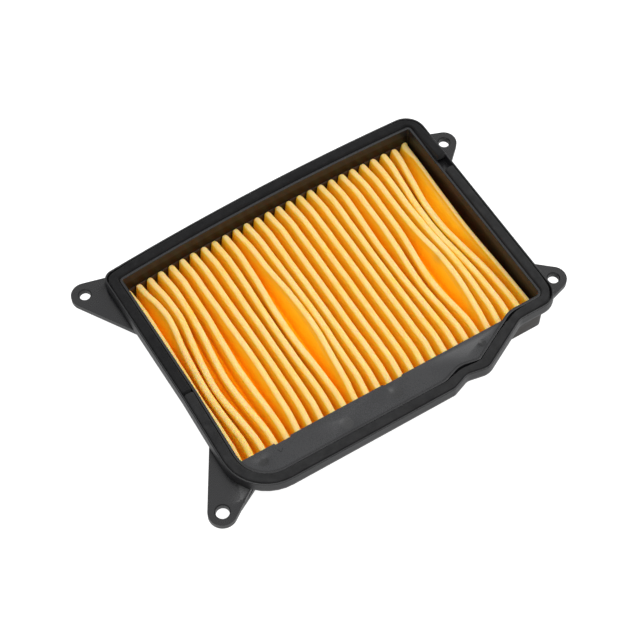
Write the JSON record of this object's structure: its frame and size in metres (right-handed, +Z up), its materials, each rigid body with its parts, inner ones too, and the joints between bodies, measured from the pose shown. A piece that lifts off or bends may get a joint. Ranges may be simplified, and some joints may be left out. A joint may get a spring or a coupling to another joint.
{
  "type": "air filter",
  "caption": "Panel air filter for a scooter: black moulded frame with screw ears, foam seals in a channel round its top, and oiled pleated paper in a box below.",
  "frame": {"origin": "bottom centre of the whole object's bounding box, level with the underside of the pleat box", "axes": "+X along the row of pleats towards the two short ears, +Y along each pleat towards the bowed back side, +Z up towards the dirty-air side"},
  "size_m": [0.2324, 0.1636, 0.0288],
  "materials": {
    "moulded_plastic": "black moulded plastic, fine satin grain",
    "filter_paper": "oil-wetted orange filter paper, matt with a slight sheen",
    "foam_dark": "matt black closed-cell foam",
    "foam_grey": "matt dark grey closed-cell foam",
    "glue": "dark amber glue"
  },
  "bodies": {
    "root": {"channel_rim": "moulded_plastic", "front_shelf": "moulded_plastic", "box_wall_back": "moulded_plastic", "box_wall_left": "moulded_plastic", "box_wall_right": "moulded_plastic", "box_wall_front": "moulded_plastic", "support_bar_left": "moulded_plastic", "support_bar_right": "moulded_plastic", "ear_back_left": "moulded_plastic", "ear_front_left": "moulded_plastic", "ear_back_right": "moulded_plastic", "ear_front_right": "moulded_plastic", "ear_gusset_front_left": "moulded_plastic", "pleated_paper": "filter_paper", "glue_back": "glue", "glue_front": "glue", "glue_left": "glue", "glue_right": "glue", "foam_strip_back": "foam_dark", "foam_strip_front": "foam_grey"}
  },
  "joints": []
}
